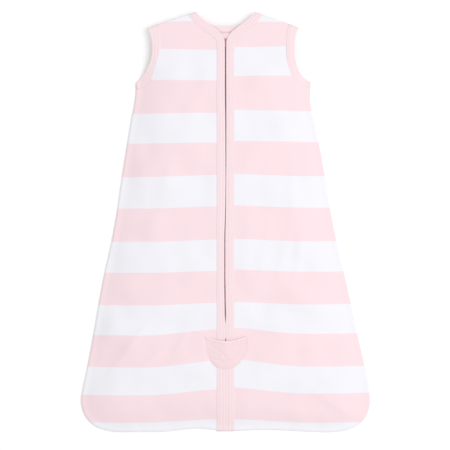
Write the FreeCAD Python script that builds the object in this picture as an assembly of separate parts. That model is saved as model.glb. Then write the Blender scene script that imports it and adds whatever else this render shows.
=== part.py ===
import FreeCAD, Part
import math
import os

from FreeCAD import Vector

os.makedirs("parts", exist_ok=True)

# Baby sleeping bag laid flat on its back. mm, +Z up, +Y to the neck, +X to the viewer's right.

# ---- cloth and heights --------------------------------------------------------------------------
CLOTH = 1.0             # jersey panel
RIB = 2.0               # rib binding and strips, folded double
LAYER_GAP = 0.7         # clearance between layers that are sewn together
FIT = 0.05              # clearance between a panel and the rib folded over its raw edge
FRONT_Z = 14.0          # underside of the front over the flat middle
SEAM_TOP = 1.9          # top of the overlocked seams, which lie on the back
SEAM_Z = SEAM_TOP + LAYER_GAP   # underside of the front at the side seams and hem
ROLL = 75.0             # width over which the front rolls down to the seams
ROLL_EASE = 5.0         # how softly the roll begins beside the seam
SEAM_WIDTH = 6.0
SEAM_CORNER_Y = -268.0  # where the side seams end and the hem seam begins
SEAM_TOP_Y = 212.0
SHOULDER_GAP = 0.8      # between the front and the back's rib at the shoulder seams
SHOULDER_Z = FRONT_Z - RIB - SHOULDER_GAP   # underside of the back at the shoulder seams
SHOULDER_ROLL = 70.0
SHOULDER_SEAM_WIDTH = 7.0
BACK_FLAT_Y = 240.0     # the back lies flat below this line and curls up above it
TOP_Z = FRONT_Z + RIB
NECK_TAPE = 0.6

# ---- outline, left and right as seen from the front -----------------------------------------------
LEFT_UNDERARM = (-144.0, 224.0)
RIGHT_UNDERARM = (137.0, 225.5)
LEFT_SIDE = [(-144.5, 205), (-150.5, 170), (-158.5, 122), (-166.5, 72), (-174.5, 17), (-183.5, -33),
             (-194, -80), (-203.5, -130), (-213, -185), (-222.5, -235), (-229.5, -268)]
RIGHT_SIDE = [(135.5, 203), (140.5, 170), (151, 122), (160, 72), (169, 17), (179, -33),
              (190, -80), (201.5, -130), (213, -185), (224.5, -235), (230.5, -268)]
LEFT_CORNER = [(-232, -287), (-227.5, -307), (-213, -325), (-190, -334.5)]
RIGHT_CORNER = [(232, -287), (228, -307), (214, -325), (191, -334.5)]
HEM_MIDDLE = (0, -335)
HEM = [(-140, -336.6), (-90, -335.5), (-48, -331), HEM_MIDDLE, (50, -333.5), (92, -334), (140, -336.5)]
HEM_LEFT_OF_STRIP = -334.3      # where each front panel's raw edge meets the hem
HEM_RIGHT_OF_STRIP = -334.9

# ---- neck, shoulders and armholes: garment edge, and the seam at the inner edge of the binding ------
NECK_SHOULDER = (47.0, 337.0)
ZIP_TOP_Y = 290.0
STRIP_INNER = 1.1
STRIP_OUTER = 14.0
NECK_EDGE = [NECK_SHOULDER, (34.5, 324.5), (23.5, 316.5), (13.6, 308.7), (5.6, 300.5),
             (STRIP_INNER, ZIP_TOP_Y)]
NECK_SEAM = [(60.0, 332.2), (43.0, 314.5), (31.5, 306.0), (22.5, 299.0), (16.5, 293.6),
             (STRIP_OUTER, ZIP_TOP_Y)]
BACK_NECK_EDGE = [(-47, 337), (-36, 325.5), (-22, 317.5), (0, 314), (22, 317.5), (36, 325.5), (47, 337)]
BACK_NECK_SEAM = [(-60, 332.2), (-45, 315.5), (-26, 305), (0, 301), (26, 305), (45, 315.5), (60, 332.2)]
BACK_TAPE_EDGE = [(-52, 319), (-30, 299.5), (0, 294), (30, 299.5), (52, 319)]
BACK_TAPE_SEAM = [(-47, 314.9), (-26.5, 304.6), (0, 300.8), (26.5, 304.6), (47, 314.9)]
LEFT_SHOULDER = (-125.0, 310.8)
RIGHT_SHOULDER = (117.0, 311.8)
LEFT_ARM_EDGE = [LEFT_SHOULDER, (-119.5, 295), (-117.8, 279), (-121, 258), (-129.3, 240.8),
                 (-137, 231), LEFT_UNDERARM]
LEFT_ARM_SEAM = [(-105.5, 317.4), (-104, 300), (-104.5, 279), (-109.5, 250), (-119.2, 230),
                 (-131, 219), (-142.9, 214)]
RIGHT_ARM_EDGE = [RIGHT_SHOULDER, (112, 297), (110.6, 283), (112.5, 258), (120.8, 238),
                  (129, 230), RIGHT_UNDERARM]
RIGHT_ARM_SEAM = [(101, 317.7), (97.8, 300), (97.3, 283), (100.5, 250), (110, 231),
                  (122, 220), (135.6, 214.5)]
RIB_WIDTH = 13.0        # binding from its free edge to its seam
RAW_EDGE = 9.0          # panel's raw edge from the binding's free edge
LAP = RAW_EDGE / RIB_WIDTH
FIT_LAP = (RAW_EDGE - FIT) / RIB_WIDTH
ROOM = 1.0              # how far the room cut for a panel reaches below it

# ---- zip ------------------------------------------------------------------------------------------
STRIP_CLOSED = 0.15     # half gap between the strips under and below the garage
STRIP_OPEN_Y = -208.0   # the strips stand apart above this line
STRIP_SHUT_Y = -222.0   # and lie shut below this one
STRIP_RAW = 10.0        # raw edge of the front panels beside the zip
TAPE = 0.6
TAPE_EDGE = 1.6
TAPE_FLAT = 6.0
TAPE_RAMP = 8.5
TAPE_Z = 11.4
TAPE_END_Y = -240.0
TAPE_TOP_GAP = 0.5      # between the tape's upper end and the neck binding
TOOTH_PITCH = 2.4
TOOTH = 0.9
TOOTH_REACH = 0.8       # past the centre line
CHAIN_WIDTH = 3.0
CHAIN_SPINE = 1.1
CHAIN_Z = (10.8, 12.6)
CHAIN_Y = (-197.2, 280.0)
SLIDER_Y = -195.0
SLIDER_LENGTH = 14.0
SLIDER_WIDE = 5.0
SLIDER_NARROW = 4.2
SLIDER_Z = (9.8, 10.6, 11.1, 12.3, 12.9, 13.7)
SLIDER_RIM = 0.9
BRIDGE_WIDTH = 1.6
BRIDGE_TOP = 19.0
PULL_PIVOT = (0.0, -193.0, 17.1)
PULL_LENGTH = 22.0
PULL_WIDTH = 6.4
PULL = 1.1
PULL_BAR = 1.2
PULL_HOLE = (2.6, 8.2)  # width, far end from the pivot
SLIDER_NOSE = (1.0, 3.0)    # how much narrower the plates are at their low end, and over what length
POST_START = 0.3        # from the slider's low end
POST_SHARE = 0.38       # how far along the post it is widest
POST_SUNK = 0.2         # below the faces of the plates
PULL_CORNER = 2.2
BRIDGE_LENGTH = 10.4
BRIDGE_OPENING = 7.2    # length of the opening that the pull hangs in
BRIDGE_FLOOR = 15.6
BRIDGE_BAR = 0.9        # thickness above the opening
BRIDGE_ROUND = 0.7
POST_LENGTH = 4.2
POST_HALF = 1.0
STOP_X = (1.3, 3.9)
STOP_Y = (-213.0, -209.5)
STOP_PROUD = 0.2        # above and below the teeth
PIN_X = (1.2, 2.9)
PIN_Z = (10.9, 12.5)
PIN_TOP_Y = 288.6
PIN_GAP = 0.1
BOX_X = (-4.6, -0.2)
BOX_Y = (281.0, 289.0)
BOX_Z = (9.6, 13.2)
BOX_FLOOR = 0.9
BOX_FLOOR_X = 4.2
GUARD = 0.8
GUARD_Z = 8.4
GUARD_BEND = (8.0, 11.5)    # where it leaves the tape and where it lies level again
GUARD_REACH = 10.0
GUARD_TOP_Y = 279.0
GUARD_NECK_HALF = 9.0       # half width of the end that rises to the neck
GUARD_NECK_Y = (290.2, 294.6, 302.0)    # where it starts to rise, where it is up, where it ends
GUARD_NECK_GAP = 0.4        # below the neck binding

# ---- garage ---------------------------------------------------------------------------------------
GARAGE_EDGE = [(-32.4, -182), (-32.6, -206), (-25.2, -221), (-13.4, -231), (0, -234.5), (13.4, -231),
               (25.2, -221), (32.6, -206), (32.4, -182)]
GARAGE_MOUTH = [(32.4, -182), (18, -187), (0, -189.5), (-18, -187), (-32.4, -182)]
GARAGE_RISE = 3.7
GARAGE_SPAN = 26.0
GARAGE_FOLD = 3.4
GARAGE_HEM = 0.8        # thickness of the edge folded back at the mouth
GARAGE_HALF = 32.5

# ---- blank care label in the left side seam ---------------------------------------------------------
LABEL_X = (-158.2, -124.0)
LABEL_Y = (84.0, 112.0)
LABEL = 0.35

# ---- the right front folds open about a line from just above the garage to the neck ---------------
FOLD_LOW = (0.0, -178.0)
FOLD_HIGH = (40.0, 331.0)
FOLD_GAP = 0.15
FLAP_LOW_Y = -150.0     # lowest point of the cloth that folds
FLAP_ZIP_LOW_Y = -105.0  # lowest point of the tape and teeth that fold

FAR = 500.0
BELOW = -20.0
ABOVE = 60.0


# ---- helpers ----------------------------------------------------------------------------------------
def mirrored(points):
    return [(-x, y) for x, y in points]


def between(first, second, share):
    return [(a[0] + (b[0] - a[0]) * share, a[1] + (b[1] - a[1]) * share) for a, b in zip(first, second)]


def spline(points):
    curve = Part.BSplineCurve()
    curve.interpolate([Vector(x, y, 0) for x, y in points])
    return curve


def edge(points):
    if len(points) == 2:
        return Part.makeLine(Vector(points[0][0], points[0][1], 0), Vector(points[1][0], points[1][1], 0))
    return spline(points).toShape()


def prism(sections, low, high):
    """Close the runs of points, in order, into one face and raise it from low to high."""
    edges = []
    for run, following in zip(sections, sections[1:] + sections[:1]):
        edges.append(edge(run))
        if math.dist(run[-1], following[0]) > 1e-6:
            edges.append(edge([run[-1], following[0]]))
    face = Part.Face(Part.Wire(edges))
    face.translate(Vector(0, 0, low))
    return face.extrude(Vector(0, 0, high - low))


def polygon(points, low, high):
    corners = [Vector(x, y, low) for x, y in points]
    return Part.Face(Part.makePolygon(corners + corners[:1])).extrude(Vector(0, 0, high - low))


def profile(points, y0, y1):
    """Raise an X-Z outline along Y."""
    corners = [Vector(x, y0, z) for x, z in points]
    return Part.Face(Part.makePolygon(corners + corners[:1])).extrude(Vector(0, y1 - y0, 0))


def box(x0, x1, y0, y1, z0, z1):
    return Part.makeBox(x1 - x0, y1 - y0, z1 - z0, Vector(x0, y0, z0))


def to_segment(x, y, a, b):
    dx, dy = b[0] - a[0], b[1] - a[1]
    share = ((x - a[0]) * dx + (y - a[1]) * dy) / (dx * dx + dy * dy)
    share = max(0.0, min(1.0, share))
    return math.hypot(x - a[0] - share * dx, y - a[1] - share * dy)


def to_line(x, y, points):
    return min(to_segment(x, y, a, b) for a, b in zip(points, points[1:]))


def within(x, y, points):
    """True inside the closed run of points."""
    crossings = 0
    for (ax, ay), (bx, by) in zip(points, points[1:] + points[:1]):
        if (ay > y) != (by > y) and x < ax + (bx - ax) * (y - ay) / (by - ay):
            crossings += 1
    return crossings % 2 == 1


def surface(height, x0, x1, y0, y1, step):
    """A smooth sheet through heights on a grid."""
    nx = int(round((x1 - x0) / step)) + 1
    ny = int(round((y1 - y0) / step)) + 1
    rows = []
    for i in range(nx):
        x = x0 + i * step
        rows.append([Vector(x, y0 + j * step, height(x, y0 + j * step)) for j in range(ny)])
    sheet = Part.BSplineSurface()
    sheet.interpolate(rows)
    return sheet.toShape()


def layer(sheet, low, high):
    """The solid between the sheet raised by low and by high."""
    lifted = sheet.copy()
    lifted.translate(Vector(0, 0, low))
    return lifted.extrude(Vector(0, 0, high - low))


def offset(points, distance):
    """Points moved to the right of their run."""
    moved = []
    for i, (x, y) in enumerate(points):
        before = points[max(i - 1, 0)]
        after = points[min(i + 1, len(points) - 1)]
        dx, dy = after[0] - before[0], after[1] - before[1]
        size = math.hypot(dx, dy)
        moved.append((x + dy / size * distance, y - dx / size * distance))
    return moved


def sampled(curve, count):
    """Points spread along a curve."""
    low, high = curve.FirstParameter, curve.LastParameter
    points = [curve.value(low + (high - low) * i / count) for i in range(count + 1)]
    return [(p.x, p.y) for p in points]


def one_solid(shape):
    solids = shape.Solids
    return max(solids, key=lambda s: s.Volume) if solids else shape


def export(name, shape):
    solid = one_solid(shape)
    solid.exportStep("parts/" + name + ".step")
    box_ = solid.BoundBox
    print("%-30s %9.1f mm3  valid %s  solids %d  z %.2f..%.2f" % (
        name, solid.Volume, solid.isValid(), len(shape.Solids), box_.ZMin, box_.ZMax))


# ---- outline and cloth surfaces ---------------------------------------------------------------------
OUTLINE = ([LEFT_UNDERARM] + LEFT_SIDE + LEFT_CORNER + HEM + RIGHT_CORNER[::-1] + RIGHT_SIDE[::-1]
           + [RIGHT_UNDERARM])
outline_curve = spline(OUTLINE)
SAMPLES = 260
samples = sampled(outline_curve, SAMPLES)


def front_height(x, y):
    """Flat in the middle, rolled down to the side seams and the hem, and level beyond them."""
    if y > LEFT_UNDERARM[1]:
        x = max(LEFT_UNDERARM[0], min(RIGHT_UNDERARM[0], x))
    elif not within(x, y, samples[::2]):
        return SEAM_Z
    past = max(0.0, to_line(x, y, samples[::2]) - SEAM_WIDTH)
    share = min(1.0, (math.hypot(past, ROLL_EASE) - ROLL_EASE) / ROLL)
    return SEAM_Z + (FRONT_Z - SEAM_Z) * (1 - (1 - share) ** 3)


def back_height(x, y):
    """Flat on the ground, curled up to meet the front at the shoulder seams."""
    left = to_segment(x, y, (-NECK_SHOULDER[0], NECK_SHOULDER[1]), LEFT_SHOULDER)
    right = to_segment(x, y, NECK_SHOULDER, RIGHT_SHOULDER)
    share = max(0.0, 1 - min(left, right) / SHOULDER_ROLL)
    return SHOULDER_Z * share ** 3


front_sheet = surface(front_height, -250, 250, -350, 350, 10)
front_cloth = layer(front_sheet, 0, CLOTH)
front_rib = layer(front_sheet, 0, RIB)
back_curl = surface(back_height, -250, 250, BACK_FLAT_Y, 350, 10)


def back_layer(low, high):
    """The solid between two heights over the back: a flat plate joined to the curled part."""
    return box(-250, 250, -350, BACK_FLAT_Y, low, high).fuse(layer(back_curl, low, high))


back_rib = back_layer(0, RIB)


def fold_x(y):
    return FOLD_LOW[0] + (FOLD_HIGH[0] - FOLD_LOW[0]) * (y - FOLD_LOW[1]) / (FOLD_HIGH[1] - FOLD_LOW[1])


def folding_side(low_y):
    """The region that turns with the fold."""
    return polygon([(-10, low_y), (fold_x(low_y) - FOLD_GAP, low_y), (fold_x(FAR) - FOLD_GAP, FAR),
                    (-10, FAR)], BELOW, ABOVE)


def fixed_side(low_y):
    """The region of the right front that stays."""
    low = low_y - 2 * FOLD_GAP
    return polygon([(-10, -FAR), (-10, low), (fold_x(low) + FOLD_GAP, low), (fold_x(FAR) + FOLD_GAP, FAR),
                    (FAR, FAR), (FAR, -FAR)], BELOW, ABOVE)


folding = folding_side(FLAP_LOW_Y)
staying = fixed_side(FLAP_LOW_Y)
folding_zip = folding_side(FLAP_ZIP_LOW_Y)
staying_zip = fixed_side(FLAP_ZIP_LOW_Y)

# ---- back: panel, neck binding and tape ---------------------------------------------------------------


def back_piece(cloth, lap):
    """The back's outline, with its raw edges a share of the way across the bindings."""
    left_arm = between(LEFT_ARM_EDGE, LEFT_ARM_SEAM, lap)
    right_arm = between(RIGHT_ARM_EDGE, RIGHT_ARM_SEAM, lap)
    neck = between(BACK_NECK_EDGE, BACK_NECK_SEAM, lap)
    lower_run = [left_arm[-1]] + OUTLINE[1:-1] + [right_arm[-1]]
    return cloth.common(prism([lower_run, right_arm[::-1], neck[::-1], left_arm], BELOW, ABOVE))


export("back_panel", back_piece(back_layer(0, CLOTH), LAP))
back_room = back_piece(back_layer(-ROOM, CLOTH + FIT), FIT_LAP)


def back_band(edge_points, seam_points):
    return back_rib.common(prism([edge_points, seam_points[::-1]], BELOW, ABOVE)).cut(back_room)


export("neck_binding_back", back_band(BACK_NECK_EDGE, BACK_NECK_SEAM))
export("armhole_binding_left_back", back_band(LEFT_ARM_EDGE, LEFT_ARM_SEAM))
export("armhole_binding_right_back", back_band(RIGHT_ARM_EDGE, RIGHT_ARM_SEAM))
back_tape = back_layer(CLOTH + FIT, CLOTH + NECK_TAPE).common(
    prism([BACK_TAPE_SEAM, BACK_TAPE_EDGE[::-1]], BELOW, ABOVE))
export("back_neck_tape", back_tape)

# ---- front panels: left, and right in a fixed and a folding part --------------------------------------
middle = OUTLINE.index(HEM_MIDDLE)


def front_left_piece(cloth, lap, raw):
    arm = between(LEFT_ARM_EDGE, LEFT_ARM_SEAM, lap)
    neck = mirrored(between(NECK_EDGE, NECK_SEAM, lap)[:-1] + [(raw, ZIP_TOP_Y)])
    low = [arm[-1]] + OUTLINE[1:middle] + [(-raw, HEM_LEFT_OF_STRIP)]
    return cloth.common(prism([low, neck[::-1], arm], BELOW, ABOVE))


def front_right_piece(cloth, lap, raw):
    arm = between(RIGHT_ARM_EDGE, RIGHT_ARM_SEAM, lap)
    neck = between(NECK_EDGE, NECK_SEAM, lap)[:-1] + [(raw, ZIP_TOP_Y)]
    low = [(raw, HEM_RIGHT_OF_STRIP)] + OUTLINE[middle + 1:-1] + [arm[-1]]
    return cloth.common(prism([low, arm[::-1], neck], BELOW, ABOVE))


front_room = layer(front_sheet, -ROOM, CLOTH + FIT)
left_room = front_left_piece(front_room, FIT_LAP, STRIP_RAW - FIT)
right_room = front_right_piece(front_room, FIT_LAP, STRIP_RAW - FIT)
export("front_left_panel", front_left_piece(front_cloth, LAP, STRIP_RAW))
front_right = front_right_piece(front_cloth, LAP, STRIP_RAW)
export("front_right_panel", front_right.common(staying))
export("front_right_flap", front_right.common(folding))


def front_band(edge_points, seam_points, room):
    return front_rib.common(prism([edge_points, seam_points[::-1]], BELOW, ABOVE)).cut(room)


export("neck_binding_left", front_band(mirrored(NECK_EDGE), mirrored(NECK_SEAM), left_room))
neck_binding_right = front_band(NECK_EDGE, NECK_SEAM, right_room)
export("neck_binding_right_end", neck_binding_right.common(staying))
export("neck_binding_right", neck_binding_right.common(folding))
export("armhole_binding_left_front", front_band(LEFT_ARM_EDGE, LEFT_ARM_SEAM, left_room))
export("armhole_binding_right_front", front_band(RIGHT_ARM_EDGE, RIGHT_ARM_SEAM, right_room))

# ---- strips beside the zip, closed over each other below the garage mouth -------------------------------
strip_outline = [(STRIP_INNER, ZIP_TOP_Y), (STRIP_INNER, STRIP_OPEN_Y), (STRIP_CLOSED, STRIP_SHUT_Y),
                 (STRIP_CLOSED, -FAR), (STRIP_OUTER, -FAR), (STRIP_OUTER, ZIP_TOP_Y)]
above_right = (RIGHT_UNDERARM[0], FAR)
above_left = (LEFT_UNDERARM[0], FAR)
inside_hem = prism([OUTLINE, [RIGHT_UNDERARM, above_right], [above_right, above_left],
                    [above_left, LEFT_UNDERARM]], BELOW, ABOVE)
strip_cloth = front_rib.common(inside_hem)
beside_zip = box(STRIP_RAW - FIT, STRIP_OUTER + ROOM, -FAR, ZIP_TOP_Y + ROOM, BELOW, ABOVE)
strip_right = strip_cloth.common(polygon(strip_outline, BELOW, ABOVE)).cut(front_room.common(beside_zip))
beside_zip = beside_zip.mirror(Vector(0, 0, 0), Vector(1, 0, 0))
strip_left = strip_cloth.common(polygon(mirrored(strip_outline), BELOW, ABOVE))
export("placket_left", strip_left.cut(front_room.common(beside_zip)))
export("placket_right_lower", strip_right.common(staying))
export("placket_right", strip_right.common(folding))

# ---- seams -------------------------------------------------------------------------------------------
for side, arm_seam in ((-1, LEFT_ARM_SEAM), (1, RIGHT_ARM_SEAM)):
    start = (side * NECK_SEAM[0][0], NECK_SEAM[0][1])
    end = arm_seam[0]
    run_x, run_y = end[0] - start[0], end[1] - start[1]
    share = SHOULDER_SEAM_WIDTH / math.hypot(run_x, run_y)
    inward = (-abs(run_y) * share * side, -abs(run_x) * share)
    corners = [start, end, (end[0] + inward[0], end[1] + inward[1]),
               (start[0] + inward[0], start[1] + inward[1])]
    seam = polygon(corners, SHOULDER_Z + CLOTH + FIT, FRONT_Z - FIT)
    export("shoulder_seam_left" if side < 0 else "shoulder_seam_right", seam)


def seam_band(run):
    return prism([run, offset(run, -SEAM_WIDTH)[::-1]], CLOTH + FIT, SEAM_TOP)


half_way = SAMPLES // 2
low_left = max(i for i in range(half_way) if samples[i][1] > SEAM_CORNER_Y)
low_right = min(i for i in range(half_way, SAMPLES + 1) if samples[i][1] > SEAM_CORNER_Y)
top_left = min(i for i in range(half_way) if samples[i][1] < SEAM_TOP_Y)
top_right = max(i for i in range(half_way, SAMPLES + 1) if samples[i][1] < SEAM_TOP_Y)
side_seam_left = seam_band(samples[top_left:low_left])
export("side_seam_left", side_seam_left)
export("side_seam_right", seam_band(samples[low_right + 1:top_right + 1]))
export("hem_seam", seam_band(samples[low_left:low_right + 1]))

# ---- zip tapes, teeth, stops and the starting box --------------------------------------------------------
tape_outline = [(TAPE_EDGE, TAPE_Z), (TAPE_FLAT, TAPE_Z), (TAPE_RAMP, FRONT_Z - TAPE),
                (STRIP_OUTER, FRONT_Z - TAPE), (STRIP_OUTER, FRONT_Z), (TAPE_RAMP, FRONT_Z),
                (TAPE_FLAT, TAPE_Z + TAPE), (TAPE_EDGE, TAPE_Z + TAPE)]
tape_top_y = ZIP_TOP_Y - TAPE_TOP_GAP
tape_left = profile([(-x, z) for x, z in tape_outline], TAPE_END_Y, tape_top_y)
tape_right = profile(tape_outline, TAPE_END_Y, tape_top_y)
export("zip_tape_left", tape_left)
export("zip_tape_right_lower", tape_right.common(staying_zip))
export("zip_tape_right", tape_right.common(folding_zip))


def chain(side, first_y):
    """A spine along the tape's edge with teeth that reach past the centre line."""
    points = [(side * CHAIN_WIDTH, CHAIN_Y[0]), (side * CHAIN_SPINE, CHAIN_Y[0])]
    y = first_y
    while y + TOOTH < CHAIN_Y[1]:
        points += [(side * CHAIN_SPINE, y), (-side * TOOTH_REACH, y), (-side * TOOTH_REACH, y + TOOTH),
                   (side * CHAIN_SPINE, y + TOOTH)]
        y += TOOTH_PITCH
    points += [(side * CHAIN_SPINE, CHAIN_Y[1]), (side * CHAIN_WIDTH, CHAIN_Y[1])]
    return polygon(points, CHAIN_Z[0], CHAIN_Z[1])


chain_left = chain(-1, CHAIN_Y[0] + 0.3).cut(tape_left)
chain_right = chain(1, CHAIN_Y[0] + 0.3 + TOOTH_PITCH / 2).cut(tape_right)
export("zip_chain_left", chain_left)
export("zip_chain_right_lower", chain_right.common(box(-10, 10, -FAR, FLAP_ZIP_LOW_Y - 2 * FOLD_GAP, 0, 40)))
export("zip_chain_right", chain_right.common(box(-10, 10, FLAP_ZIP_LOW_Y, FAR, 0, 40)))
stop = box(STOP_X[0], STOP_X[1], STOP_Y[0], STOP_Y[1], CHAIN_Z[0] - STOP_PROUD, CHAIN_Z[1] + STOP_PROUD)
export("zip_stop_right", stop.cut(tape_right))
export("zip_stop_left", stop.mirror(Vector(0, 0, 0), Vector(1, 0, 0)).cut(tape_left))
pin = box(PIN_X[0], PIN_X[1], CHAIN_Y[1] + PIN_GAP, PIN_TOP_Y, PIN_Z[0], PIN_Z[1]).cut(tape_right)
export("zip_insertion_pin", pin)
retainer = box(BOX_X[0], BOX_X[1], BOX_Y[0], BOX_Y[1], BOX_Z[0] + BOX_FLOOR / 2, BOX_Z[1])
retainer = retainer.fuse(box(BOX_X[0], BOX_FLOOR_X, BOX_Y[0], BOX_Y[1], BOX_Z[0], BOX_Z[0] + BOX_FLOOR))
export("zip_retainer_box", retainer.removeSplitter().cut(tape_left))

# ---- soft guard behind the zip, sewn under the left tape --------------------------------------------------
guard_top = FRONT_Z - TAPE
guard = profile([(-STRIP_OUTER, guard_top), (-STRIP_OUTER, guard_top - GUARD),
                 (-GUARD_BEND[1], guard_top - GUARD), (-GUARD_BEND[0], GUARD_Z), (GUARD_REACH, GUARD_Z),
                 (GUARD_REACH, GUARD_Z + GUARD), (-GUARD_BEND[0] + GUARD / 2, GUARD_Z + GUARD),
                 (-GUARD_BEND[1] + GUARD / 2, guard_top)], TAPE_END_Y, GUARD_TOP_Y)
neck_z = FRONT_Z - GUARD_NECK_GAP - GUARD
rise = [(GUARD_TOP_Y - 1, GUARD_Z), (GUARD_NECK_Y[0], GUARD_Z), (GUARD_NECK_Y[1], neck_z),
        (GUARD_NECK_Y[2], neck_z), (GUARD_NECK_Y[2], neck_z + GUARD),
        (GUARD_NECK_Y[1] - GUARD / 2, neck_z + GUARD), (GUARD_NECK_Y[0] - GUARD / 2, GUARD_Z + GUARD),
        (GUARD_TOP_Y - 1, GUARD_Z + GUARD)]
corners = [Vector(-GUARD_NECK_HALF, y, z) for y, z in rise]
guard_end = Part.Face(Part.makePolygon(corners + corners[:1])).extrude(Vector(2 * GUARD_NECK_HALF, 0, 0))
export("zip_guard", guard.fuse(guard_end).removeSplitter())

# ---- slider and its pull -----------------------------------------------------------------------------------
y_low = SLIDER_Y - SLIDER_LENGTH / 2
y_high = SLIDER_Y + SLIDER_LENGTH / 2
nose_half = SLIDER_WIDE - SLIDER_NOSE[0]
nose_y = y_low + SLIDER_NOSE[1]
plate = [(-nose_half, y_low), (nose_half, y_low), (SLIDER_WIDE, nose_y),
         (SLIDER_NARROW, y_high), (-SLIDER_NARROW, y_high), (-SLIDER_WIDE, nose_y)]
hollow = [(-SLIDER_WIDE + 0.2, y_low - 1), (SLIDER_WIDE - 0.2, y_low - 1),
          (SLIDER_WIDE - SLIDER_RIM, nose_y), (SLIDER_NARROW - SLIDER_RIM, y_high + 1),
          (-SLIDER_NARROW + SLIDER_RIM, y_high + 1), (-SLIDER_WIDE + SLIDER_RIM, nose_y)]
slider = polygon(plate, SLIDER_Z[0], SLIDER_Z[5])
slider = slider.cut(polygon(hollow, SLIDER_Z[1], SLIDER_Z[4]))
slider = slider.cut(box(-20, 20, y_low - 1, y_high + 1, SLIDER_Z[2], SLIDER_Z[3]))
post_low = y_low + POST_START
post_wide = post_low + POST_LENGTH * POST_SHARE
post_outline = [(0, post_low), (POST_HALF, post_wide), (0, post_low + POST_LENGTH), (-POST_HALF, post_wide)]
post = polygon(post_outline, SLIDER_Z[0] + POST_SUNK, SLIDER_Z[5] - POST_SUNK)
export("slider_body", slider.fuse(post).removeSplitter())
half = BRIDGE_WIDTH / 2
bridge = box(-half, half, SLIDER_Y - BRIDGE_LENGTH / 2, SLIDER_Y + BRIDGE_LENGTH / 2,
             SLIDER_Z[5], BRIDGE_TOP)
upper_edges = [e for e in bridge.Edges if abs(e.BoundBox.ZMin - BRIDGE_TOP) < 1e-6]
upper_ends = [e for e in upper_edges if e.BoundBox.YLength < 1e-6]
bridge = bridge.makeFillet(BRIDGE_ROUND, upper_ends)
bridge = bridge.cut(box(-BRIDGE_WIDTH, BRIDGE_WIDTH, SLIDER_Y - BRIDGE_OPENING / 2,
                        SLIDER_Y + BRIDGE_OPENING / 2, BRIDGE_FLOOR, BRIDGE_TOP - BRIDGE_BAR))
export("slider_bridge", bridge)
pull_top_y = PULL_PIVOT[1] + PULL_BAR / 2
pull = box(-PULL_WIDTH / 2, PULL_WIDTH / 2, pull_top_y - PULL_LENGTH, pull_top_y, PULL_PIVOT[2] - PULL / 2,
           PULL_PIVOT[2] + PULL / 2)
corners = [e for e in pull.Edges if e.BoundBox.ZLength > PULL - 0.01]
pull = pull.makeFillet(PULL_CORNER, corners)
pull = pull.cut(box(-PULL_HOLE[0] / 2, PULL_HOLE[0] / 2, PULL_PIVOT[1] - PULL_HOLE[1],
                    PULL_PIVOT[1] - PULL_BAR / 2, 0, ABOVE))
export("pull_tab", pull)

# ---- garage: a half-moon sewn round its curve, open at the top -----------------------------------------------
sewn_points = sampled(spline(GARAGE_EDGE), 40)
sewn_points = [(sewn_points[0][0], -150.0)] + sewn_points + [(sewn_points[-1][0], -150.0)]


def garage_height(x, y):
    """Rests on the strips and the panels at its sewn edge, domed over the slider."""
    inside = abs(x) < GARAGE_HALF and y > GARAGE_EDGE[4][1]
    rise = min(to_line(x, y, sewn_points), GARAGE_SPAN) / GARAGE_SPAN if inside else 0.0
    lean = max(0.0, min(1.0, (abs(x) - 14.0) / 12.0))
    lean = lean * lean * (3 - 2 * lean)
    return TOP_Z + FIT - (RIB - CLOTH) * lean + GARAGE_RISE * (1 - (1 - rise) ** 2)


garage_sheet = surface(garage_height, -44, 44, -244, -168, 4)
cover = layer(garage_sheet, 0, CLOTH).common(prism([GARAGE_EDGE, GARAGE_MOUTH], 0, 60))
export("garage_cover", cover)
fold_low = [(x, y - GARAGE_FOLD) for x, y in GARAGE_MOUTH]
fold_low[0] = (GARAGE_HALF, fold_low[0][1])
fold_low[-1] = (-GARAGE_HALF, fold_low[-1][1])
fold = layer(garage_sheet, CLOTH, CLOTH + GARAGE_HEM).common(prism([GARAGE_MOUTH, fold_low[::-1]], 0, 60))
export("garage_mouth_fold", fold)

# ---- blank care label, caught in the left side seam -------------------------------------------------------
label = box(LABEL_X[0], LABEL_X[1], LABEL_Y[0], LABEL_Y[1], CLOTH, CLOTH + LABEL)
export("care_label_blank", label.cut(side_seam_left))
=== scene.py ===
import math

import bmesh
import bpy
import numpy as np
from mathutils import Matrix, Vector, geometry, noise


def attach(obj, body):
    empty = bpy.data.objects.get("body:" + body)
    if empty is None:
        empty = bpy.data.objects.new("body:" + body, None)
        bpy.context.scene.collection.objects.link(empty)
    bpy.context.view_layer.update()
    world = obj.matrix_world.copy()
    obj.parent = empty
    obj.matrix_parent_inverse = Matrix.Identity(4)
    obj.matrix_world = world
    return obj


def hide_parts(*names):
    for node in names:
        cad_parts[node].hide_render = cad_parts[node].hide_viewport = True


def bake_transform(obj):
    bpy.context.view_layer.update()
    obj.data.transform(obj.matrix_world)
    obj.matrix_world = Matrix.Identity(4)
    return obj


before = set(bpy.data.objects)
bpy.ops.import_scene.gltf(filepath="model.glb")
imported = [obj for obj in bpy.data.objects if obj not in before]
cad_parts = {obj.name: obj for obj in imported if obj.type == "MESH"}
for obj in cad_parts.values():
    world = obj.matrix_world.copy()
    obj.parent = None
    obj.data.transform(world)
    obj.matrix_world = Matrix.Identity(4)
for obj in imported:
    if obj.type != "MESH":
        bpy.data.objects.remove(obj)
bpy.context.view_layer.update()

# --- Where the bag lies ------------------------------------------------------------------------
# The bag is laid flat on its back on a plain white board, seen from straight above.
# A broad soft lamp stands to the upper right, so edges throw a faint shadow down to the left.
MM = 0.001
VIEW_WIDTH = 0.720
VIEW_CENTRE = (-0.0008, -0.0040)
CAMERA_HEIGHT = 2.4
CLOTH_TOP = 0.015
BOARD_DROP = 0.0003


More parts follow.
